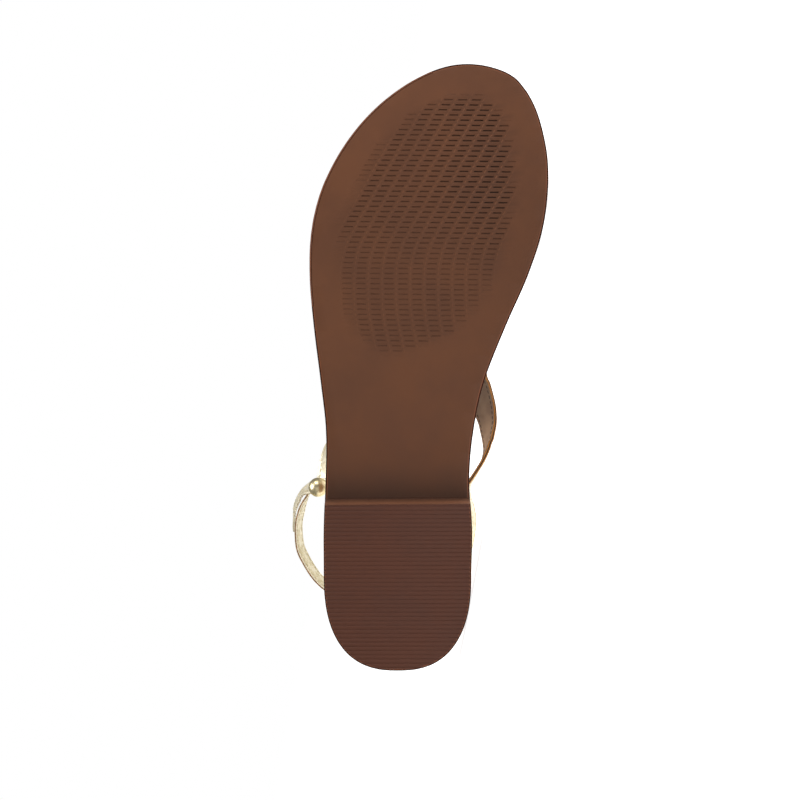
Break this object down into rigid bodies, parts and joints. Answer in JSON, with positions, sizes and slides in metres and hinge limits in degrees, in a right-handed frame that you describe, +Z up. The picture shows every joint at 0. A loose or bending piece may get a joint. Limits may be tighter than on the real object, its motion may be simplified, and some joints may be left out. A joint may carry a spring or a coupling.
{
  "type": "toe post sandal",
  "caption": "Flat sandal for the right foot, lying on its inner side: low-heeled sole, padded footbed, metallic straps held by a toe post, and an ankle sling that buttons on a ball stud.",
  "frame": {"origin": "on the floor that the sandal lies on, below the middle of its bounding box", "axes": "+X towards the toe along the floor, +Z up, which is the outer side of the foot, and -Y the way that the sole faces"},
  "size_m": [0.2504, 0.0656, 0.0926],
  "materials": {
    "sole_rubber": "matt brown, smooth, with an embossed tread patch under the ball",
    "heel_rubber": "matt dark brown with fine ribs across the tread",
    "footbed_leather": "soft taupe leather with a line of stitches round its edge",
    "strap_leather": "pale gold metallic leather, fine crinkle grain, taupe lining, dark cut edges",
    "stud_brass": "polished"
  },
  "bodies": {
    "root": {"outsole": "sole_rubber", "heel_block": "heel_rubber", "footbed": "footbed_leather", "thong_upper": "strap_leather", "sling_strap": "strap_leather", "button_tab": "strap_leather", "ball_stud": "stud_brass"}
  },
  "joints": []
}
